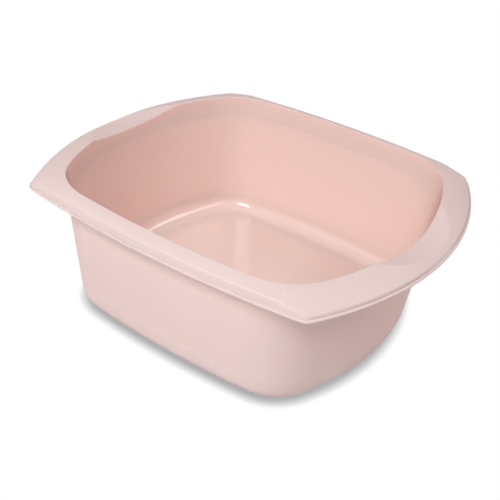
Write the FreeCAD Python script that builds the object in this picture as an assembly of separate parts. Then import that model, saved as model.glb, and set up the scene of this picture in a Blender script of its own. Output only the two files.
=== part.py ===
import FreeCAD, Part
import math
import os

os.makedirs("parts", exist_ok=True)

# A rectangular washing up bowl with a turned-over rim, wide end handles and thumb scoops.
# Millimetres, +X along the length, +Z up, origin on the ground under the middle of the bowl.

# Opening at the top edge: a rectangle with bowed ends and sides
opening_length = 332.6
opening_width = 298.3
opening_end_radius = 254.8
opening_side_radius = 937.6
opening_corner_radius = 63.2
height = 140.0

# Basin: a wall of even thickness and draft, narrower all round at the base, with a rounded bottom edge
wall = 2.2
taper = 14.6
base_edge_radius = 18.0

# Base: the floor panel stands clear of the ground inside the ring that carries the bowl
standing_recess = 1.5
standing_width = 8.0
base_ring_height = 20.0

# Gate mark of the moulding, under the middle of the floor: a shallow dish with a pip
gate_diameter = 16.0
gate_depth = 0.8
gate_pip_diameter = 3.6
gate_pip_height = 0.5

# Rim: a top band that slopes outward, a skirt, and wide sloping handles at the ends
rim_width = 13.4
rim_drop = 4.0
handle_width = 26.3
handle_edge_height = 3.2
rim_end_radius = 287.3
rim_side_radius = 999.0
rim_corner_radius = 10.0
rim_depth = 14.2
skirt_draft = 0.6
crease_climb = 15.0
crest_bevel = 1.4
rim_seat_depth = 19.0

# Bead round the foot of the skirt
bead_height = 2.2
bead_overhang = 1.8
bead_bevel = 0.6

# Thumb scoop across the middle of each handle, a little lower at the handle's edge
scoop_length = 122.0
scoop_depth = 8.3
scoop_fall = 1.2

# One overrun for every cut, and the number of narrow bands that round the bottom edge
overrun = 5.0
edge_bands = 4


class Outline:
    """A bowed rectangle: an arc for each end and side, joined by tangent corner arcs."""

    def __init__(self, half_length, half_width, end_radius, side_radius, corner_radius):
        self.half_length = half_length
        self.half_width = half_width
        self.end_radius = end_radius
        self.side_radius = side_radius
        self.corner_radius = corner_radius
        self.end_centre = FreeCAD.Vector(half_length - end_radius, 0, 0)
        self.side_centre = FreeCAD.Vector(0, half_width - side_radius, 0)
        self.corner_centre = circles_meet(
            self.end_centre, end_radius - corner_radius, self.side_centre, side_radius - corner_radius)
        self.end_angle = angle_of(self.corner_centre - self.end_centre)
        self.side_angle = angle_of(self.corner_centre - self.side_centre)

    def grown(self, step):
        """The parallel outline that lies this far outside."""
        return Outline(self.half_length + step, self.half_width + step, self.end_radius + step,
                       self.side_radius + step, self.corner_radius + step)

    def on_end(self, angle):
        return self.end_centre + polar(self.end_radius, angle)

    def on_side(self, angle):
        return self.side_centre + polar(self.side_radius, angle)

    def on_corner(self, angle):
        return self.corner_centre + polar(self.corner_radius, angle)


def polar(radius, angle):
    return FreeCAD.Vector(radius * math.cos(angle), radius * math.sin(angle), 0)


def angle_of(vector):
    return math.atan2(vector.y, vector.x)


def circles_meet(first, first_radius, second, second_radius):
    """The meeting point of two circles that lies in the outline's own quarter."""
    line = second - first
    gap = line.Length
    along = (first_radius ** 2 - second_radius ** 2 + gap ** 2) / (2 * gap)
    across = math.sqrt(first_radius ** 2 - along ** 2)
    unit = line / gap
    return first + unit * along + FreeCAD.Vector(-unit.y, unit.x, 0) * across


def ray_meets(start, angle, centre, radius):
    """The point where a ray from inside a circle leaves it."""
    ray = polar(1, angle)
    offset = start - centre
    half = offset.dot(ray)
    reach = math.sqrt(half ** 2 - offset.dot(offset) + radius ** 2) - half
    return start + ray * reach


def lifted(point, z):
    return FreeCAD.Vector(point.x, point.y, z)


def edge(points):
    """Three points make an arc, four are the poles of a smooth curve."""
    if len(points) == 3:
        return Part.Arc(*points).toShape()
    curve = Part.BezierCurve()
    curve.setPoles(points)
    return curve.toShape()


def closed_wire(end, quarter, side):
    """A full outline from its end arc, one quarter of segments and its side arc."""
    def flipped(points, sx, sy):
        return [FreeCAD.Vector(p.x * sx, p.y * sy, p.z) for p in points]

    def backward(segments):
        return [points[::-1] for points in segments[::-1]]

    loop = [end] + quarter + [side]
    loop += backward([flipped(points, -1, 1) for points in quarter])
    loop += [flipped(end, -1, -1)]
    loop += [flipped(points, -1, -1) for points in quarter]
    loop += [flipped(side, -1, -1)]
    loop += backward([flipped(points, 1, -1) for points in quarter])
    return Part.Wire([edge(points) for points in loop])


def plain_wire(outline, z):
    """An outline at one height: end, corner and side arcs."""
    first = lifted(outline.on_corner(outline.end_angle), z)
    middle = lifted(outline.on_corner((outline.end_angle + outline.side_angle) / 2), z)
    last = lifted(outline.on_corner(outline.side_angle), z)
    end = [FreeCAD.Vector(first.x, -first.y, z), FreeCAD.Vector(outline.half_length, 0, z), first]
    side = [last, FreeCAD.Vector(0, outline.half_width, z), FreeCAD.Vector(-last.x, last.y, z)]
    return closed_wire(end, [[first, middle, last]], side)


def prism(outline, low, high):
    face = Part.Face(plain_wire(outline, low))
    return face.extrude(FreeCAD.Vector(0, 0, high - low))


def rim_stations(outline):
    """Angles, seen from the opening's corner, where the rim's quarter changes its form."""
    climb_angle = outline.side_angle + crease_climb / outline.side_radius
    points = [outline.on_corner(outline.end_angle), outline.on_corner(outline.side_angle),
              outline.on_side(climb_angle)]
    return climb_angle, [angle_of(point - opening.corner_centre) for point in points]


def rim_wire(outline, end_z, side_z):
    """A rim outline whose height climbs from the handles and corners to the long sides."""
    climb_angle, _ = rim_stations(outline)
    end_start = ray_meets(opening.corner_centre, opening.end_angle, outline.end_centre, outline.end_radius)
    side_stop = ray_meets(opening.corner_centre, opening.side_angle, outline.side_centre, outline.side_radius)
    start_angle = angle_of(end_start - outline.end_centre)
    stop_angle = angle_of(side_stop - outline.side_centre)

    def arc(place, first, last, z):
        return [lifted(place(angle), z) for angle in (first, (first + last) / 2, last)]

    levels = [end_z, end_z, side_z, side_z]
    climb = []
    for step, z in enumerate(levels):
        angle = outline.side_angle + (climb_angle - outline.side_angle) * step / (len(levels) - 1)
        climb.append(lifted(outline.on_side(angle), z))
    quarter = [arc(outline.on_end, start_angle, outline.end_angle, end_z),
               arc(outline.on_corner, outline.end_angle, outline.side_angle, end_z),
               climb,
               arc(outline.on_side, climb_angle, stop_angle, side_z)]
    end = arc(outline.on_end, -start_angle, start_angle, end_z)
    side = arc(outline.on_side, stop_angle, math.pi - stop_angle, side_z)
    return closed_wire(end, quarter, side)


def opening_wire(outline, z):
    """The opening's outline, with its corner divided where the rim's quarter changes."""
    _, turns = rim_stations(shoulder)
    angles = [outline.end_angle] + turns + [outline.side_angle]
    quarter = []
    for first, last in zip(angles, angles[1:]):
        quarter.append([lifted(outline.on_corner(a), z) for a in (first, (first + last) / 2, last)])
    first = quarter[0][0]
    last = quarter[-1][-1]
    end = [FreeCAD.Vector(first.x, -first.y, z), FreeCAD.Vector(outline.half_length, 0, z), first]
    side = [last, FreeCAD.Vector(0, outline.half_width, z), FreeCAD.Vector(-last.x, last.y, z)]
    return closed_wire(end, quarter, side)


def slab(low, high):
    """Everything between two heights."""
    half_x = bead.half_length + overrun
    half_y = bead.half_width + overrun
    return Part.makeBox(2 * half_x, 2 * half_y, high - low, FreeCAD.Vector(-half_x, -half_y, low))


def inside(z):
    """The outline of the wall's inner face at one height."""
    return opening.grown(-taper * (height - z) / height)


def outside(z):
    """The outline of the wall's outer face at one height."""
    return inside(z).grown(wall)


def rounded_block(outline_at, low, radius):
    """A drafted block up to the top edge, with its bottom edge rounded by narrow bands."""
    full_turn = math.pi / 2 - math.atan(taper / height)
    run = radius * math.tan(full_turn / 2)
    rings = []
    for band in range(edge_bands + 1):
        turn = full_turn * band / edge_bands
        outline = outline_at(low).grown(radius * math.sin(turn) - run)
        rings.append(plain_wire(outline, low + radius * (1 - math.cos(turn))))
    rings.append(plain_wire(outline_at(height), height))
    return Part.makeLoft(rings, True, True)


def basin_outside():
    return rounded_block(outside, 0, base_edge_radius)


def basin_inside():
    return rounded_block(inside, floor_z, base_edge_radius - wall)


def scoop_cutter(side, step):
    """The round cutter of one thumb scoop, tilted so that the scoop falls outward."""
    inner = FreeCAD.Vector(opening.half_length, 0, height - scoop_depth + scoop_radius)
    slope = FreeCAD.Vector(handle_width, 0, -scoop_fall)
    start = inner - slope
    stop = inner + slope * 2
    cutter = Part.makeCylinder(scoop_radius + step, (stop - start).Length, start, slope)
    if side < 0:
        cutter = cutter.mirror(FreeCAD.Vector(0, 0, 0), FreeCAD.Vector(1, 0, 0))
    return cutter


def rim_mass():
    """The rim filled solid: skirt, top band, sloping handles and the top of the wall."""
    foot = rim_wire(shoulder.grown(skirt_draft), skirt_foot_z, skirt_foot_z)
    crest = [rim_wire(shoulder, handle_edge_z - crest_bevel, crease_z - crest_bevel),
             rim_wire(shoulder.grown(-crest_bevel), handle_edge_z + handle_slope * crest_bevel,
                      crease_z + rim_slope * crest_bevel)]
    block = Part.makeLoft([foot] + crest + [opening_wire(opening, height)], True, True)
    wall_top = basin_outside().common(slab(rim_seat_z, skirt_foot_z))
    scoop_bed = prism(shoulder.grown(-2 * wall), rim_seat_z, skirt_foot_z)
    return block.fuse([wall_top, scoop_bed])


def rim_hollow():
    """The open space under the rim, between the wall and the skirt."""
    inset = shoulder.grown(-wall)
    foot = rim_wire(inset, rim_seat_z, rim_seat_z)
    crest = rim_wire(inset, handle_edge_z - wall, crease_z - wall)
    return Part.makeLoft([foot, crest, opening_wire(opening, height - wall)], True, True)


def rim_shell():
    """The whole turned-over rim as one thin shell."""
    hollow = rim_hollow().cut([basin_outside(), scoop_cutter(1, wall), scoop_cutter(-1, wall)])
    return rim_mass().cut([hollow, basin_inside(), scoop_cutter(1, 0), scoop_cutter(-1, 0)])


def base_panel():
    """The floor inside the ring that the bowl stands on, with the gate mark under its middle."""
    ground = FreeCAD.Vector(0, 0, standing_recess)
    dish_top = FreeCAD.Vector(0, 0, standing_recess + gate_depth)
    dish = Part.makeCylinder(gate_diameter / 2, gate_depth, ground)
    pip = Part.makeCylinder(gate_pip_diameter / 2, gate_pip_height, dish_top, FreeCAD.Vector(0, 0, -1))
    return prism(panel, standing_recess, floor_z).cut(dish.cut(pip))


def base_ring():
    """The rounded bottom edge of the basin, with the flat ring that touches the ground."""
    return basin_shell.common(slab(0, base_ring_height)).cut(prism(panel, -overrun, base_ring_height))


def basin_wall():
    """The drafted wall between the bottom edge and the rim."""
    return basin_shell.common(slab(base_ring_height, rim_seat_z))


def seam_end():
    """A point beyond the bead, on the line where a handle meets the rim of a long side."""
    _, turns = rim_stations(shoulder)
    return opening.corner_centre + polar(bead.half_length, turns[-1])


def column(corners):
    """Everything over a flat polygon, up to the top edge."""
    loop = [FreeCAD.Vector(x, y, 0) for x, y in corners]
    face = Part.Face(Part.makePolygon(loop + loop[:1]))
    return face.extrude(FreeCAD.Vector(0, 0, height))


def rim_section(side):
    """The turned-over rim of one long side, between the two handles."""
    near = opening.corner_centre
    far = seam_end()
    corners = [(near.x, side * near.y), (far.x, side * far.y), (-far.x, side * far.y), (-near.x, side * near.y)]
    return rim.common(column(corners))


def handle(side):
    """The wide rim of one end, with its thumb scoop and both corners."""
    near = opening.corner_centre
    far = seam_end()
    beyond = far.x + bead.half_length
    half = [(side * near.x, near.y), (side * far.x, far.y), (side * beyond, far.y)]
    return rim.common(column(half + [(x, -y) for x, y in half[::-1]]))


def edge_bead():
    """The thin bevelled bead that sticks out round the foot of the skirt."""
    slim = bead.grown(-bead_bevel)
    rings = [plain_wire(slim, bead_z), plain_wire(bead, bead_z + bead_bevel),
             plain_wire(bead, skirt_foot_z - bead_bevel), plain_wire(slim, skirt_foot_z)]
    return Part.makeLoft(rings, True, True).cut(prism(shoulder.grown(-wall), bead_z, skirt_foot_z))


def export(node, shape):
    solids = Part.makeCompound(shape.Solids)
    solids.exportStep(os.path.join("parts", node + ".step"))
    print(node, len(shape.Solids), shape.isValid(), round(shape.Volume))


opening = Outline(opening_length / 2, opening_width / 2,
                  opening_end_radius, opening_side_radius, opening_corner_radius)
shoulder = Outline(opening.half_length + handle_width, opening.half_width + rim_width,
                   rim_end_radius, rim_side_radius, rim_corner_radius)
bead = shoulder.grown(skirt_draft + bead_overhang)
panel = outside(0).grown(-base_edge_radius - standing_width)
floor_z = standing_recess + wall
bead_z = height - rim_depth
skirt_foot_z = bead_z + bead_height
crease_z = height - rim_drop
handle_edge_z = skirt_foot_z + handle_edge_height
rim_slope = (height - crease_z) / rim_width
handle_slope = (height - handle_edge_z) / handle_width
rim_seat_z = height - rim_seat_depth
scoop_radius = (scoop_length ** 2 / 4 + scoop_depth ** 2) / (2 * scoop_depth)

basin_shell = basin_outside().cut(basin_inside())
rim = rim_shell()
export("base_panel", base_panel())
export("base_ring", base_ring())
export("basin_wall", basin_wall())
export("front_rim", rim_section(-1))
export("rear_rim", rim_section(1))
export("left_handle", handle(-1))
export("right_handle", handle(1))
export("edge_bead", edge_bead())
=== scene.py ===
import math
import bpy
import numpy as np
from mathutils import Matrix, Vector


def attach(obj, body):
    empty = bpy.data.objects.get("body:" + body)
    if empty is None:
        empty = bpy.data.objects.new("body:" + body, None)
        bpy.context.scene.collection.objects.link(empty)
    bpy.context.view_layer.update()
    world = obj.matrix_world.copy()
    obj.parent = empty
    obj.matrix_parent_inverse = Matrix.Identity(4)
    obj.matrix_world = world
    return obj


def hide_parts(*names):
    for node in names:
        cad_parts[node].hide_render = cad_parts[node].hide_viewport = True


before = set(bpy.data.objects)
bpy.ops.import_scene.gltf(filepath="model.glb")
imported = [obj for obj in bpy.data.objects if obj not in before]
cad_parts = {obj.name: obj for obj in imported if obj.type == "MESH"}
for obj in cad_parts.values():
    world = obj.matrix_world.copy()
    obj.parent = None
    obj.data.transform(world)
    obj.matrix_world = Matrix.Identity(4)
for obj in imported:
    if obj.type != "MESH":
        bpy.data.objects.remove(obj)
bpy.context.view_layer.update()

# A pale pink washing up bowl on a white studio floor.
# Lengths of the bowl are in millimetres and become metres when a mesh is made.

METRES = 0.001

# Opening and wall, as in the part
OPENING_LENGTH = 332.6
OPENING_WIDTH = 298.3
OPENING_END_RADIUS = 254.8
OPENING_SIDE_RADIUS = 937.6
OPENING_CORNER_RADIUS = 63.2
HEIGHT = 140.0
WALL = 2.2
TAPER = 14.6
BASE_EDGE_RADIUS = 18.0
STANDING_RECESS = 1.5
STANDING_WIDTH = 8.0
BASE_RING_HEIGHT = 20.0
GATE_RADIUS = 8.0
GATE_DEPTH = 0.8
GATE_PIP_RADIUS = 1.8
GATE_PIP_HEIGHT = 0.5

# Rim, handles, bead and thumb scoops, as in the part
RIM_WIDTH = 13.4
RIM_DROP = 4.0
HANDLE_WIDTH = 26.3
HANDLE_EDGE_HEIGHT = 3.2
RIM_END_RADIUS = 287.3
RIM_SIDE_RADIUS = 999.0
RIM_CORNER_RADIUS = 10.0
RIM_DEPTH = 14.2
SKIRT_DRAFT = 0.6
CREASE_CLIMB = 15.0
RIM_SEAT_DEPTH = 19.0
BEAD_HEIGHT = 2.2
BEAD_OVERHANG = 1.8
SCOOP_LENGTH = 122.0
SCOOP_DEPTH = 8.3

# Small roundings that only the visual model has
INNER_EDGE_ROUND = 1.2
CREST_ROUND = 1.1
SKIRT_FOOT_ROUND = 0.5
BEAD_ROUND = 0.95
HOLLOW_ROUND = 2.0
STEP_ROUND = 0.6
SCOOP_BLEND = 0.6

# Forms that follow the photograph more closely than the part's: crowned handles, a gentle climb of the crest,
# a slight dip of the crest beside the scoops, and scoops whose beds rise outward and end before the crest
TOP_CROWN_SHARE = 0.45
CLIMB_RUN = 38.0
CLIMB_SPREAD = 40.0
CREST_DIP = 1.4
SCOOP_RISE = 1.5

# Shares that shape the gate mark and keep the hollow's rounding inside the skirt
PIP_FLAT_SHARE = 0.8
GATE_FLAT_SHARE = 0.9
HOLLOW_ROOM_SHARE = 0.8

# Columns of the mesh in each quarter. The corner has four stretches, which end where the rim's corner starts,
# where it ends, where the part's crest has climbed, and where the opening's corner ends
END_COLUMNS = 84
CORNER_COLUMNS = (14, 14, 10, 12)
SIDE_COLUMNS = 26

# Rows of the mesh in each stretch of the profile
PANEL_ROWS = 5
PANEL_LOW_ROWS = 3
FLOOR_ROWS = 2
EDGE_ROWS = 14
WALL_ROWS = 5
SEAT_ROWS = 3
TOP_ROWS = 36
HOLLOW_ROWS = 14
ROUND_ROWS = 7
SMALL_ROUND_ROWS = 5

# Steps in which a face of the wall is brought to the rim's upper face
MEETING_STEPS = 8

# Decimals of a millimetre to which points are welded, and the length below which a normal counts as none
WELD_DIGITS = 5
NO_LENGTH = 1e-12

# Levels that follow from the sizes
FLOOR_Z = STANDING_RECESS + WALL
BEAD_Z = HEIGHT - RIM_DEPTH
SKIRT_FOOT_Z = BEAD_Z + BEAD_HEIGHT
CREASE_Z = HEIGHT - RIM_DROP
HANDLE_EDGE_Z = SKIRT_FOOT_Z + HANDLE_EDGE_HEIGHT
SEAT_Z = HEIGHT - RIM_SEAT_DEPTH
SCOOP_RADIUS = (SCOOP_LENGTH ** 2 / 4 + SCOOP_DEPTH ** 2) / (2 * SCOOP_DEPTH)


# Outlines

class Outline:
    """A bowed rectangle: an arc for each end and side, joined by tangent corner arcs."""

    def __init__(self, half_length, half_width, end_radius, side_radius, corner_radius):
        self.sizes = (half_length, half_width, end_radius, side_radius, corner_radius)
        self.end_radius = end_radius
        self.side_radius = side_radius
        self.corner_radius = corner_radius
        self.end_centre = np.array([half_length - end_radius, 0.0])
        self.side_centre = np.array([0.0, half_width - side_radius])
        self.corner_centre = circles_meet(self.end_centre, end_radius - corner_radius,
                                          self.side_centre, side_radius - corner_radius)
        self.end_angle = angle_of(self.corner_centre - self.end_centre)
        self.side_angle = angle_of(self.corner_centre - self.side_centre)

    def grown(self, step):
        """The parallel outline that lies this far outside."""
        return Outline(*[size + step for size in self.sizes])

    def reach(self, start, ray):
        """How far each ray in the first quarter runs before it leaves the outline."""
        to_end = circle_reach(start, ray, self.end_centre, self.end_radius)
        to_side = circle_reach(start, ray, self.side_centre, self.side_radius)
        to_corner = circle_reach(start, ray, self.corner_centre, self.corner_radius)
        on_end = angles_of(start + ray * to_end[:, None] - self.end_centre) <= self.end_angle
        on_side = angles_of(start + ray * to_side[:, None] - self.side_centre) >= self.side_angle
        return np.where(on_end, to_end, np.where(on_side, to_side, to_corner))


def angle_of(vector):
    """The direction of one vector in the plan."""
    return math.atan2(vector[1], vector[0])


def angles_of(vectors):
    """The directions of many vectors in the plan."""
    return np.arctan2(vectors[:, 1], vectors[:, 0])


def polar(angles):
    """Unit vectors in the plan, one for each direction."""
    return np.stack([np.cos(angles), np.sin(angles)], axis=-1)


def circles_meet(first, first_radius, second, second_radius):
    """The meeting point of two circles that lies in the outline's own quarter."""
    line = second - first
    gap = np.hypot(*line)
    along = (first_radius ** 2 - second_radius ** 2 + gap ** 2) / (2 * gap)
    across = math.sqrt(first_radius ** 2 - along ** 2)
    unit = line / gap
    return first + unit * along + np.array([-unit[1], unit[0]]) * across


def circle_reach(start, ray, centre, radius):
    """How far each ray runs before it leaves a circle, or 0 where it misses it."""
    offset = start - centre
    half = (offset * ray).sum(axis=1)
    room = half ** 2 - (offset ** 2).sum(axis=1) + radius ** 2
    return np.where(room > 0, np.sqrt(np.maximum(room, 0)) - half, 0)


opening = Outline(OPENING_LENGTH / 2, OPENING_WIDTH / 2,
                  OPENING_END_RADIUS, OPENING_SIDE_RADIUS, OPENING_CORNER_RADIUS)
shoulder = Outline(OPENING_LENGTH / 2 + HANDLE_WIDTH, OPENING_WIDTH / 2 + RIM_WIDTH,
                   RIM_END_RADIUS, RIM_SIDE_RADIUS, RIM_CORNER_RADIUS)


def quarter_columns():
    """Column points on the opening and the outward rays that they follow, for one quarter."""
    climb_angle = shoulder.side_angle + CREASE_CLIMB / shoulder.side_radius
    corner_start = shoulder.corner_centre + shoulder.corner_radius * polar(shoulder.end_angle)
    corner_end = shoulder.corner_centre + shoulder.corner_radius * polar(shoulder.side_angle)
    climb_end = shoulder.side_centre + shoulder.side_radius * polar(climb_angle)
    turns = [angle_of(place - opening.corner_centre) for place in (corner_start, corner_end, climb_end)]
    marks = [opening.end_angle] + turns + [opening.side_angle]
    end = np.linspace(0, opening.end_angle, END_COLUMNS, endpoint=False)
    corner = [np.linspace(first, last, count, endpoint=False)
              for first, last, count in zip(marks, marks[1:], CORNER_COLUMNS)]
    side = np.linspace(opening.side_angle, math.pi / 2, SIDE_COLUMNS + 1)
    stretches = [(opening.end_centre, opening.end_radius, end),
                 (opening.corner_centre, opening.corner_radius, np.concatenate(corner)),
                 (opening.side_centre, opening.side_radius, side)]
    points = np.vstack([centre + radius * polar(angles) for centre, radius, angles in stretches])
    rays = np.vstack([polar(angles) for _, _, angles in stretches])
    return points, rays


def all_round(quarter, x_sign=1, y_sign=1):
    """One quarter's values, mirrored to a full loop that starts at the middle of the right end."""
    second = quarter[-2::-1] * np.array([x_sign, 1])[:quarter.shape[1]]
    half = np.vstack([quarter, second])
    return np.vstack([half, half[-2:0:-1] * np.array([1, y_sign])[:quarter.shape[1]]])


quarter_points, quarter_rays = quarter_columns()
points = all_round(quarter_points, -1, -1)
rays = all_round(quarter_rays, -1, -1)
COLUMNS = len(points)

# Columns from the middle of an end to the cut between its handle and the rim of a long side
SEAM = END_COLUMNS + sum(CORNER_COLUMNS[:3])


def reach_all_round(outline):
    """How far each column's ray runs from the opening to an outline."""
    return all_round(outline.reach(quarter_points, quarter_rays)[:, None])[:, 0]


def ring(offset, z):
    """A loop of points at an offset outside the opening and at a height, each a number or one per column."""
    flat = points + rays * np.broadcast_to(offset, COLUMNS)[:, None]
    return np.column_stack([flat, np.broadcast_to(z, COLUMNS)])


# Heights of the rim

def smooth_step(share):
    """A share that starts and ends gently."""
    share = np.clip(share, 0, 1)
    return share * share * (3 - 2 * share)


rim_reach = reach_all_round(shoulder)
crest_points = points + rays * rim_reach[:, None]
climb_angle = angles_of(np.abs(crest_points) - shoulder.side_centre) - shoulder.side_angle
climb_place = climb_angle * shoulder.side_radius


def climb_share(share):
    """How far the rim has climbed from the handles' level, more gently towards the opening."""
    run = CLIMB_RUN + CLIMB_SPREAD * (1 - np.clip(share, 0, 1))
    return smooth_step(0.5 + (climb_place - CREASE_CLIMB / 2) / run)


# The handles' crest dips a little beside the thumb scoops
from_middle = np.abs(crest_points[:, 1]) / (SCOOP_LENGTH / 2)
on_handle = np.abs(crest_points[:, 0]) > OPENING_LENGTH / 2
crest_dip = CREST_DIP * np.where(on_handle, smooth_step(1 - from_middle), 0)


def scoop_z(flat):
    """The height of the thumb scoops' round beds over points of the plan."""
    axis_rise = SCOOP_RISE * (np.abs(flat[:, 0]) - OPENING_LENGTH / 2) / HANDLE_WIDTH
    axis_z = HEIGHT - SCOOP_DEPTH + SCOOP_RADIUS + axis_rise
    tilt = math.hypot(HANDLE_WIDTH, SCOOP_RISE) / HANDLE_WIDTH
    drop = np.sqrt(np.maximum(SCOOP_RADIUS ** 2 - flat[:, 1] ** 2, 0)) * tilt
    far_above = HEIGHT * 2
    return np.where(np.abs(flat[:, 1]) < SCOOP_RADIUS, axis_z - drop, far_above)


def lower_of(first, second, blend):
    """The lower of two heights, with the crease between them rounded."""
    near = np.clip(0.5 + (second - first) / (2 * blend), 0, 1)
    return second + (first - second) * near - blend * near * (1 - near)


def top_z(offset):
    """The height of the rim's upper face at an offset outside the opening."""
    share = offset / rim_reach
    crowned = (1 - TOP_CROWN_SHARE) * share + TOP_CROWN_SHARE * share * np.abs(share)
    crest_z = HANDLE_EDGE_Z - crest_dip + (CREASE_Z - HANDLE_EDGE_Z) * climb_share(share)
    plain = HEIGHT - (HEIGHT - crest_z) * crowned
    flat = points + rays * np.broadcast_to(offset, COLUMNS)[:, None]
    return lower_of(plain, scoop_z(flat), SCOOP_BLEND)


def wall_offset(z):
    """The offset of the wall's inner face at a height."""
    return -TAPER * (HEIGHT - z) / HEIGHT


def meeting_offset(drop, face):
    """The offset where a face of the wall meets the rim's upper face lowered by a drop."""
    offset = np.full(COLUMNS, float(face))
    for _ in range(MEETING_STEPS):
        offset = wall_offset(top_z(offset) - drop) + face
    return offset


# Profile rows

def straight(first, last, count):
    """Rows between two rows, without the two themselves."""
    return [first + (last - first) * step / (count + 1) for step in range(1, count + 1)]


def rounded(before, corner, after, length, count=ROUND_ROWS):
    """Rows of an arc that rounds a corner row, starting and ending a length away from it."""
    back = before - corner
    ahead = after - corner
    back = back / np.linalg.norm(back, axis=1)[:, None]
    ahead = ahead / np.linalg.norm(ahead, axis=1)[:, None]
    span = np.broadcast_to(length, COLUMNS)[:, None]
    first = corner + back * span
    last = corner + ahead * span
    half_cos = np.clip((back * ahead).sum(axis=1), -1, 1)
    weight = np.sqrt((1 - half_cos) / 2)[:, None]
    rows = []
    for share in np.linspace(0, 1, count):
        a, b, c = (1 - share) ** 2, 2 * share * (1 - share) * weight, share ** 2
        rows.append((first * a + corner * b + last * c) / (a + b + c))
    return rows


def bottom_edge(face, low, radius):
    """Rows of a round bottom edge from the level base up to the drafted wall."""
    full_turn = math.pi / 2 - math.atan(TAPER / HEIGHT)
    run = radius * math.tan(full_turn / 2)
    start = wall_offset(low) + face - run
    turns = np.linspace(0, full_turn, EDGE_ROWS)
    return [ring(start + radius * math.sin(turn), low + radius * (1 - math.cos(turn))) for turn in turns]


panel_offset = wall_offset(0) + WALL - BASE_EDGE_RADIUS - STANDING_WIDTH


def inner_rows():
    """The basin's inside, from the panel's edge up to the seat of the rim, in two pieces."""
    edge = bottom_edge(0, FLOOR_Z, BASE_EDGE_RADIUS - WALL)
    panel_top = ring(panel_offset, FLOOR_Z)
    ring_top = ring(wall_offset(BASE_RING_HEIGHT), BASE_RING_HEIGHT)
    seat = ring(wall_offset(SEAT_Z), SEAT_Z)
    ring_rows = [panel_top] + straight(panel_top, edge[0], FLOOR_ROWS) + edge + [ring_top]
    wall_rows = [ring_top] + straight(ring_top, seat, WALL_ROWS) + [seat]
    return ring_rows, wall_rows


def outer_rows():
    """The basin's outside, from the seat of the rim down to the panel's lower edge, in two pieces."""
    edge = bottom_edge(WALL, 0, BASE_EDGE_RADIUS)[::-1]
    seat = ring(wall_offset(SEAT_Z) + WALL, SEAT_Z)
    ring_top = ring(wall_offset(BASE_RING_HEIGHT) + WALL, BASE_RING_HEIGHT)
    panel_foot = ring(panel_offset, 0)
    panel_low = ring(panel_offset, STANDING_RECESS)
    step = rounded(edge[-1], panel_foot, panel_low, STEP_ROUND)
    wall_rows = [seat] + straight(seat, ring_top, WALL_ROWS) + [ring_top]
    ring_rows = [ring_top] + edge + straight(edge[-1], step[0], 1) + step + [panel_low]
    return ring_rows, wall_rows


def upper_rows():
    """The rim's upper side: wall, inner edge, top band, crest and skirt down to the bead."""
    seat = ring(wall_offset(SEAT_Z), SEAT_Z)
    inner = meeting_offset(0, 0)
    edge = ring(inner, top_z(inner))
    near = inner + INNER_EDGE_ROUND
    rows = [seat] + straight(seat, edge, SEAT_ROWS)[:-1]
    rows += rounded(seat, edge, ring(near, top_z(near)), INNER_EDGE_ROUND)
    crest = ring(rim_reach, top_z(rim_reach))
    before = rim_reach - CREST_ROUND
    for share in np.linspace(0, 1, TOP_ROWS + 2)[1:-1]:
        offset = near + (before - near) * share
        rows.append(ring(offset, top_z(offset)))
    foot = ring(reach_all_round(shoulder.grown(SKIRT_DRAFT)), SKIRT_FOOT_Z)
    room = crest[:, 2] - SKIRT_FOOT_Z - SKIRT_FOOT_ROUND
    rows += rounded(ring(before, top_z(before)), crest, foot, np.minimum(CREST_ROUND, room))
    return rows, foot


def bead_rows(skirt_row, foot):
    """The bead round the skirt's foot, from the skirt's outside to its inside."""
    bead_reach = reach_all_round(shoulder.grown(SKIRT_DRAFT + BEAD_OVERHANG))
    inside_reach = reach_all_round(shoulder.grown(-WALL))
    top = ring(bead_reach, SKIRT_FOOT_Z)
    low = ring(bead_reach, BEAD_Z)
    inner_low = ring(inside_reach, BEAD_Z)
    inner_top = ring(inside_reach, SKIRT_FOOT_Z)
    fillet = rounded(skirt_row, foot, top, SKIRT_FOOT_ROUND, SMALL_ROUND_ROWS)
    middle = SMALL_ROUND_ROWS // 2
    rows = fillet[middle:] + rounded(foot, top, low, BEAD_ROUND) + rounded(top, low, inner_low, BEAD_ROUND)
    rows += straight(low, inner_low, 1) + rounded(low, inner_low, inner_top, STEP_ROUND, SMALL_ROUND_ROWS)
    return fillet[:middle + 1], rows + [inner_top]


def hollow_rows():
    """The rim's underside: skirt, hollow under the top band, and the wall down to the seat."""
    inside_reach = reach_all_round(shoulder.grown(-WALL))
    inner_top = ring(inside_reach, SKIRT_FOOT_Z)
    wall_meets = meeting_offset(WALL, WALL)
    seat = ring(wall_offset(SEAT_Z) + WALL, SEAT_Z)
    outer = ring(inside_reach, top_z(inside_reach) - WALL)
    corner = ring(wall_meets, top_z(wall_meets) - WALL)
    beside = wall_meets + HOLLOW_ROUND
    next_out = inside_reach - HOLLOW_ROUND
    room = (outer[:, 2] - SKIRT_FOOT_Z) * HOLLOW_ROOM_SHARE
    rows = [inner_top]
    rows += rounded(inner_top, outer, ring(next_out, top_z(next_out) - WALL), np.minimum(HOLLOW_ROUND, room))
    for share in np.linspace(0, 1, HOLLOW_ROWS):
        offset = next_out + (beside - next_out) * share
        rows.append(ring(offset, top_z(offset) - WALL))
    rows += rounded(ring(beside, top_z(beside) - WALL), corner, seat, HOLLOW_ROUND)[1:]
    rows += straight(rows[-1], seat, 1) + [seat]
    return rows


# Meshes

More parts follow.
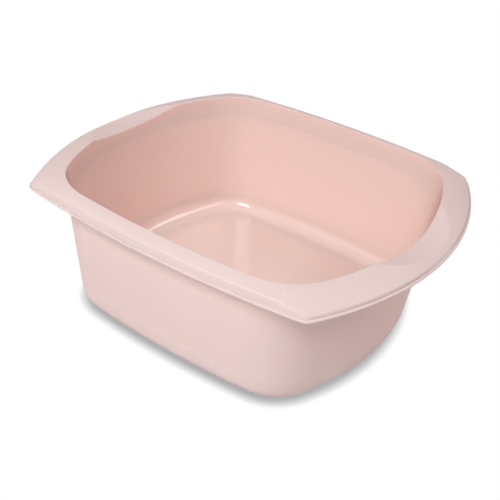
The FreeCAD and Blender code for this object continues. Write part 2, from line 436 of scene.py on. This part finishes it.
def strip_normals(rows):
    """Smooth normals of a strip of rows, from the faces round each point."""
    grid = np.array(rows)
    here, up = grid[:-1], grid[1:]
    faces = np.cross(np.roll(up, -1, axis=1) - here, np.roll(here, -1, axis=1) - up)
    total = np.zeros_like(grid)
    for part in (faces, np.roll(faces, 1, axis=1)):
        total[:-1] += part
        total[1:] += part
    return total / np.maximum(np.linalg.norm(total, axis=2, keepdims=True), NO_LENGTH)


class Patchwork:
    """Collects the strips and caps of one piece and makes its mesh with smooth normals."""

    def __init__(self, name):
        self.name = name
        self.places = []
        self.index = {}
        self.faces = []
        self.normals = []
        self.kinds = []

    def vertex(self, place):
        """The number of the vertex at a place, made when it is new."""
        key = tuple(np.round(place, WELD_DIGITS))
        if key not in self.index:
            self.index[key] = len(self.places)
            self.places.append(place * METRES)
        return self.index[key]

    def add(self, corners, normals, kind):
        """One face from its corner places; corners that fall together are left out."""
        ids = [self.vertex(place) for place in corners]
        keep = [k for k in range(len(ids)) if ids[k] != ids[k - 1]]
        if len(keep) < 3:
            return
        self.faces.append([ids[k] for k in keep])
        self.normals.append(None if normals is None else [normals[k] for k in keep])
        self.kinds.append(kind)

    def strip(self, rows, normals, columns, kind):
        """A band of faces along the columns; with no normals it is a flat cap."""
        for row in range(len(rows) - 1):
            low, high = rows[row], rows[row + 1]
            for column in columns:
                after = (column + 1) % COLUMNS
                corners = [low[column], high[column], high[after], low[after]]
                if normals is None:
                    self.add(corners, None, kind)
                    continue
                n_low, n_high = normals[row], normals[row + 1]
                self.add(corners, [n_low[column], n_high[column], n_high[after], n_low[after]], kind)

    def make(self, materials):
        """The finished piece, tied to its node of the part."""
        mesh = bpy.data.meshes.new("bowl_" + self.name)
        mesh.from_pydata([tuple(place) for place in self.places], [], self.faces)
        for material in materials:
            mesh.materials.append(material)
        mesh.polygons.foreach_set("material_index", self.kinds)
        mesh.polygons.foreach_set("use_smooth", [True] * len(self.faces))
        mesh.update()
        loops = []
        for polygon, normals in zip(mesh.polygons, self.normals):
            flat = tuple(polygon.normal)
            loops += [flat] * polygon.loop_total if normals is None else [tuple(n) for n in normals]
        mesh.normals_split_custom_set(loops)
        piece = bpy.data.objects.new("bowl_" + self.name, mesh)
        bpy.context.scene.collection.objects.link(piece)
        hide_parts(self.name)
        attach(piece, "root")
        return piece


INSIDE, OUTSIDE = 0, 1
everywhere = range(COLUMNS)

inner_ring, inner_wall = inner_rows()
outer_ring, outer_wall = outer_rows()
upper, skirt_foot = upper_rows()
foot_fillet, bead = bead_rows(upper[-1], skirt_foot)
upper += foot_fillet
under = hollow_rows()

# The moulding's skin in one run, from the floor inside over the rim to the foot outside.
# Its normals are worked out together, so that no seam shows between the pieces.
strips = {"inner_ring": inner_ring, "inner_wall": inner_wall, "upper": upper, "bead": bead,
          "under": under, "outer_wall": outer_wall, "outer_ring": outer_ring}
skin = [inner_ring[0]]
starts = {}
for key, rows in strips.items():
    starts[key] = len(skin) - 1
    skin += rows[1:]
skin_normals = strip_normals(skin)
normals = {key: skin_normals[starts[key]:starts[key] + len(rows)] for key, rows in strips.items()}

# The row of the rim's upper side where the gloss of the basin ends and the rounded edge begins
EDGE_ROW = SEAT_ROWS


def panel_piece(materials):
    """The floor panel with the gate mark under its middle."""
    work = Patchwork("base_panel")
    edge_top = ring(panel_offset, FLOOR_Z)
    edge_low = ring(panel_offset, STANDING_RECESS)
    middle_top = np.array([[0.0, 0.0, FLOOR_Z]])
    top = [middle_top + (edge_top - middle_top) * share for share in np.linspace(0, 1, PANEL_ROWS)]
    work.strip(top, np.broadcast_to([0.0, 0.0, 1.0], (PANEL_ROWS, COLUMNS, 3)), everywhere, INSIDE)
    unit = edge_low[:, :2] / np.linalg.norm(edge_low[:, :2], axis=1)[:, None]
    dish_z = STANDING_RECESS + GATE_DEPTH
    pip_z = dish_z - GATE_PIP_HEIGHT
    radii = [(0, pip_z), (GATE_PIP_RADIUS * PIP_FLAT_SHARE, pip_z), (GATE_PIP_RADIUS, dish_z),
             (GATE_RADIUS * GATE_FLAT_SHARE, dish_z), (GATE_RADIUS, STANDING_RECESS)]
    low = [np.column_stack([unit * radius, np.full(COLUMNS, z)]) for radius, z in radii]
    low += straight(low[-1], edge_low, PANEL_LOW_ROWS) + [edge_low]
    work.strip(low[::-1], None, everywhere, OUTSIDE)
    work.strip([edge_top, edge_low], None, everywhere, OUTSIDE)
    return work.make(materials)


def band_piece(name, inside_key, outside_key, materials):
    """A closed band of the basin between two cuts."""
    inside, outside = strips[inside_key], strips[outside_key]
    work = Patchwork(name)
    work.strip(inside, normals[inside_key], everywhere, INSIDE)
    work.strip(outside, normals[outside_key], everywhere, OUTSIDE)
    work.strip([inside[-1], outside[0]], None, everywhere, OUTSIDE)
    work.strip([outside[-1], inside[0]], None, everywhere, OUTSIDE)
    return work.make(materials)


def bead_piece(materials):
    """The closed bead round the foot of the rim."""
    work = Patchwork("edge_bead")
    work.strip(bead, normals["bead"], everywhere, OUTSIDE)
    work.strip([bead[-1], bead[0]], None, everywhere, OUTSIDE)
    return work.make(materials)


def rim_piece(name, first, last, materials):
    """One stretch of the rim between two columns, closed at both ends."""
    work = Patchwork(name)
    columns = [column % COLUMNS for column in range(first, last)]
    work.strip(upper[:EDGE_ROW + 1], normals["upper"][:EDGE_ROW + 1], columns, INSIDE)
    work.strip(upper[EDGE_ROW:], normals["upper"][EDGE_ROW:], columns, OUTSIDE)
    work.strip(under, normals["under"], columns, OUTSIDE)
    work.strip([upper[-1], under[0]], None, columns, OUTSIDE)
    work.strip([under[-1], upper[0]], None, columns, OUTSIDE)
    loop = upper + under
    work.add([row[first % COLUMNS] for row in loop[::-1]], None, OUTSIDE)
    work.add([row[last % COLUMNS] for row in loop], None, OUTSIDE)
    return work.make(materials)


# Materials

# Sizes of the patterns in metres, and how finely they break up
MOTTLE_SIZE = 0.12
MOTTLE_DETAIL = 4.0
# The size of the noise that breaks up the painted highlight on sharp edges
HIGHLIGHT_BREAK_SIZE = 0.006
GRAIN_DETAIL = 2.0

# Where the drifting shade starts and stops changing, where an edge counts as sharp, and where noise breaks up
# the painted highlight on sharp edges
SHADE_FROM = 0.3
SHADE_TO = 0.7
SHARP_FROM = 0.505
SHARP_TO = 0.56
HIGHLIGHT_BREAK_FROM = 0.35
HIGHLIGHT_BREAK_TO = 0.65
HIGHLIGHT_BREAK_LEAST = 0.2

PLASTIC_IOR = 1.49
# The paler pink of the painted highlight on sharp edges
EDGE_HIGHLIGHT_PINK = (0.92, 0.78, 0.74, 1)
THROUGH_PINK = (0.95, 0.52, 0.44, 1)
THROUGH_SHARE = 0.3


def add_node(tree, kind, values=None, **settings):
    """A new shader node with its options and its sockets' values."""
    node = tree.nodes.new("ShaderNode" + kind)
    for name, value in settings.items():
        setattr(node, name, value)
    for name, value in (values or {}).items():
        node.inputs[name].default_value = value
    return node


def scaled(tree, socket, low, high, start=0.0, stop=1.0):
    """A socket that runs from low to high as another runs from start to stop."""
    node = add_node(tree, "MapRange", {"From Min": start, "From Max": stop, "To Min": low, "To Max": high})
    tree.links.new(socket, node.inputs["Value"])
    return node.outputs["Result"]


def combined(tree, operation, first, second):
    """A socket that joins two others by an operation of the Math node."""
    node = add_node(tree, "Math", operation=operation)
    tree.links.new(first, node.inputs[0])
    tree.links.new(second, node.inputs[1])
    return node.outputs["Value"]


def noise(tree, place, size, detail=GRAIN_DETAIL):
    """A cloudy pattern whose patches have a size in metres."""
    node = add_node(tree, "TexNoise", {"Scale": 1 / size, "Detail": detail})
    tree.links.new(place, node.inputs["Vector"])
    return node.outputs["Fac"]


def painted_edge_highlight(tree, place):
    """A painted highlight: a socket that is high on sharp outer edges, broken up by noise."""
    pointed = add_node(tree, "NewGeometry").outputs["Pointiness"]
    sharp = scaled(tree, pointed, 0, 1, SHARP_FROM, SHARP_TO)
    highlight_breaks = scaled(tree, noise(tree, place, HIGHLIGHT_BREAK_SIZE), HIGHLIGHT_BREAK_LEAST, 1, HIGHLIGHT_BREAK_FROM, HIGHLIGHT_BREAK_TO)
    return combined(tree, "MULTIPLY", sharp, highlight_breaks)


def tinted(tree, pattern, deep, pale):
    """A colour that drifts between two close shades along a pattern."""
    ramp = add_node(tree, "ValToRGB")
    for element, position, colour in zip(ramp.color_ramp.elements, (SHADE_FROM, SHADE_TO), (deep, pale)):
        element.position = position
        element.color = colour
    tree.links.new(pattern, ramp.inputs["Fac"])
    return ramp.outputs["Color"]


def plastic(name, deep, pale, highlight_share, roughness, grain, relief, shine):
    """Pink polypropylene: drifting shade, grain, a painted highlight that pales sharp edges, and some light
    through the thin wall.
    """
    material = bpy.data.materials.new(name)
    material.use_nodes = True
    tree = material.node_tree
    shader = tree.nodes["Principled BSDF"]
    shader.inputs["IOR"].default_value = PLASTIC_IOR
    shader.inputs["Specular IOR Level"].default_value = shine
    place = add_node(tree, "TexCoord").outputs["Object"]
    pattern = noise(tree, place, grain)
    tint = add_node(tree, "Mix", data_type="RGBA")
    # Sharp edges are painted paler, as a highlight
    tree.links.new(scaled(tree, painted_edge_highlight(tree, place), 0, highlight_share), tint.inputs["Factor"])
    tree.links.new(tinted(tree, noise(tree, place, MOTTLE_SIZE, MOTTLE_DETAIL), deep, pale), tint.inputs["A"])
    tint.inputs["B"].default_value = EDGE_HIGHLIGHT_PINK
    tree.links.new(tint.outputs["Result"], shader.inputs["Base Color"])
    tree.links.new(scaled(tree, pattern, *roughness), shader.inputs["Roughness"])
    bump = add_node(tree, "Bump", {"Strength": 1.0, "Distance": relief})
    tree.links.new(pattern, bump.inputs["Height"])
    tree.links.new(bump.outputs["Normal"], shader.inputs["Normal"])
    through = add_node(tree, "BsdfTranslucent", {"Color": THROUGH_PINK})
    blend = add_node(tree, "MixShader", {"Fac": THROUGH_SHARE})
    tree.links.new(shader.outputs["BSDF"], blend.inputs[1])
    tree.links.new(through.outputs["BSDF"], blend.inputs[2])
    tree.links.new(blend.outputs["Shader"], tree.nodes["Material Output"].inputs["Surface"])
    return material


# Both finishes paint a paler highlight on sharp edges, at the share given after their colours
# The outside and the rim come from a spark-eroded mould half with a fine matt grain
satin = plastic("bowl_satin", deep=(0.715, 0.67, 0.655, 1), pale=(0.74, 0.695, 0.68, 1), highlight_share=0.35,
                roughness=(0.48, 0.60), grain=0.0007, relief=0.00003, shine=0.5)

# The inside comes from a polished mould half, with the slow ripple of cooled plastic
gloss = plastic("bowl_gloss", deep=(0.855, 0.74, 0.69, 1), pale=(0.875, 0.765, 0.715, 1), highlight_share=0.35,
                roughness=(0.045, 0.09), grain=0.03, relief=0.00006, shine=0.7)

# The pieces, each with both finishes
both = [gloss, satin]
half = COLUMNS // 2
panel_piece(both)
band_piece("base_ring", "inner_ring", "outer_ring", both)
band_piece("basin_wall", "inner_wall", "outer_wall", both)
bead_piece(both)
rim_piece("right_handle", -SEAM, SEAM, both)
rim_piece("rear_rim", SEAM, half - SEAM, both)
rim_piece("left_handle", half - SEAM, half + SEAM, both)
rim_piece("front_rim", half + SEAM, COLUMNS - SEAM, both)


# Floor, background and light

# Sizes and distances here are in metres
FLOOR_REACH = 6.0
FLOOR_COLOUR = (0.85, 0.85, 0.85, 1)

# The shadow round the foot: its reach, its level, and the openness at which it is full and gone
SHADOW_REACH = 0.013
SHADOW_LEVEL = 0.42
SHADOW_FROM = 0.30
SHADOW_TO = 0.88

AMBIENT = 0.05
LIGHT_DISTANCE = 1.8
LIGHT_AIM = Vector((0, 0, 0.07))
LIGHTS = (
    # Name, azimuth from the front towards the right end, elevation, width, height, watts
    ("key", -4, 47, 1.0, 0.45, 24.6),
    ("front_fill", 0, 28, 2.0, 0.6, 8.5),
    ("top_fill", 0, 88, 1.8, 1.8, 1.6),
    ("right_fill", 95, 48, 0.9, 0.45, 6.5),
    ("right_back_fill", 140, 48, 0.9, 0.45, 6.8),
    ("left_fill", -95, 30, 1.2, 0.8, 2.3),
)


def seen_by_eye_or_gloss(tree):
    """A socket that is 1 for what the camera, a reflection or clear plastic shows."""
    path = add_node(tree, "LightPath")
    either = combined(tree, "MAXIMUM", path.outputs["Is Camera Ray"], path.outputs["Is Glossy Ray"])
    return combined(tree, "MAXIMUM", either, path.outputs["Is Transmission Ray"])


def studio_floor():
    """A white floor that shows the eye only the soft shadow round the bowl's foot."""
    mesh = bpy.data.meshes.new("floor")
    mesh.from_pydata([(-FLOOR_REACH, -FLOOR_REACH, 0), (FLOOR_REACH, -FLOOR_REACH, 0),
                      (FLOOR_REACH, FLOOR_REACH, 0), (-FLOOR_REACH, FLOOR_REACH, 0)], [], [(0, 1, 2, 3)])
    piece = bpy.data.objects.new("floor", mesh)
    bpy.context.scene.collection.objects.link(piece)
    material = bpy.data.materials.new("floor")
    material.use_nodes = True
    tree = material.node_tree
    shader = tree.nodes["Principled BSDF"]
    shader.inputs["Base Color"].default_value = FLOOR_COLOUR
    shader.inputs["Roughness"].default_value = 1.0
    shader.inputs["Specular IOR Level"].default_value = 0.0
    openness = add_node(tree, "AmbientOcclusion", {"Distance": SHADOW_REACH}).outputs["AO"]
    level = scaled(tree, openness, SHADOW_LEVEL, 1, SHADOW_FROM, SHADOW_TO)
    glow = add_node(tree, "Emission")
    tree.links.new(level, glow.inputs["Strength"])
    shown = add_node(tree, "MixShader")
    tree.links.new(seen_by_eye_or_gloss(tree), shown.inputs["Fac"])
    tree.links.new(shader.outputs["BSDF"], shown.inputs[1])
    tree.links.new(glow.outputs["Emission"], shown.inputs[2])
    tree.links.new(shown.outputs["Shader"], tree.nodes["Material Output"].inputs["Surface"])
    mesh.materials.append(material)


def studio_world():
    """A white background that sheds only a little light on the bowl."""
    world = bpy.data.worlds.new("studio")
    bpy.context.scene.world = world
    world.use_nodes = True
    tree = world.node_tree
    background = tree.nodes["Background"]
    background.inputs["Color"].default_value = (1, 1, 1, 1)
    tree.links.new(scaled(tree, seen_by_eye_or_gloss(tree), AMBIENT, 1), background.inputs["Strength"])


def studio_light(name, azimuth, elevation, width, height, watts):
    """A soft white lamp that faces the bowl."""
    data = bpy.data.lights.new(name, "AREA")
    data.shape = "RECTANGLE"
    data.size = width
    data.size_y = height
    data.energy = watts
    turn, rise = math.radians(azimuth), math.radians(elevation)
    outward = Vector((math.sin(turn) * math.cos(rise), -math.cos(turn) * math.cos(rise), math.sin(rise)))
    lamp = bpy.data.objects.new(name, data)
    lamp.location = LIGHT_AIM + outward * LIGHT_DISTANCE
    lamp.rotation_euler = outward.to_track_quat("Z", "Y").to_euler()
    bpy.context.scene.collection.objects.link(lamp)


studio_floor()
studio_world()
for light in LIGHTS:
    studio_light(*light)

# Camera at the photograph's viewing angle; its distances are in millimetres, as the bowl's are
IMAGE_PIXELS = 500.0
FOCAL_PIXELS = 798.2
SENSOR_WIDTH = 36.0
CLIP_START = 10.0
AZIMUTH = 32.642
ELEVATION = 33.174
ROLL = 5.42
DISTANCE = 800.15
SLIDE_RIGHT = -4.211
SLIDE_UP = -16.917
AIM_HEIGHT = 70.8


def photo_camera():
    """A camera that sees the bowl as the photograph shows it."""
    azimuth, elevation, roll = (math.radians(angle) for angle in (AZIMUTH, ELEVATION, ROLL))
    back = Vector((math.sin(azimuth) * math.cos(elevation), -math.cos(azimuth) * math.cos(elevation),
                   math.sin(elevation)))
    level = Vector((math.cos(azimuth), math.sin(azimuth), 0))
    rise = back.cross(level)
    right = level * math.cos(roll) + rise * math.sin(roll)
    up = rise * math.cos(roll) - level * math.sin(roll)
    place = Vector((0, 0, AIM_HEIGHT)) + right * SLIDE_RIGHT + up * SLIDE_UP + back * DISTANCE
    data = bpy.data.cameras.new("photo_camera")
    data.sensor_width = SENSOR_WIDTH
    data.lens = SENSOR_WIDTH * FOCAL_PIXELS / IMAGE_PIXELS
    data.clip_start = CLIP_START * METRES
    camera = bpy.data.objects.new("photo_camera", data)
    turn = Matrix((right, up, back)).transposed().to_4x4()
    camera.matrix_world = Matrix.Translation(place * METRES) @ turn
    bpy.context.scene.collection.objects.link(camera)
    bpy.context.scene.camera = camera


photo_camera()
bpy.context.scene.view_settings.view_transform = "Standard"
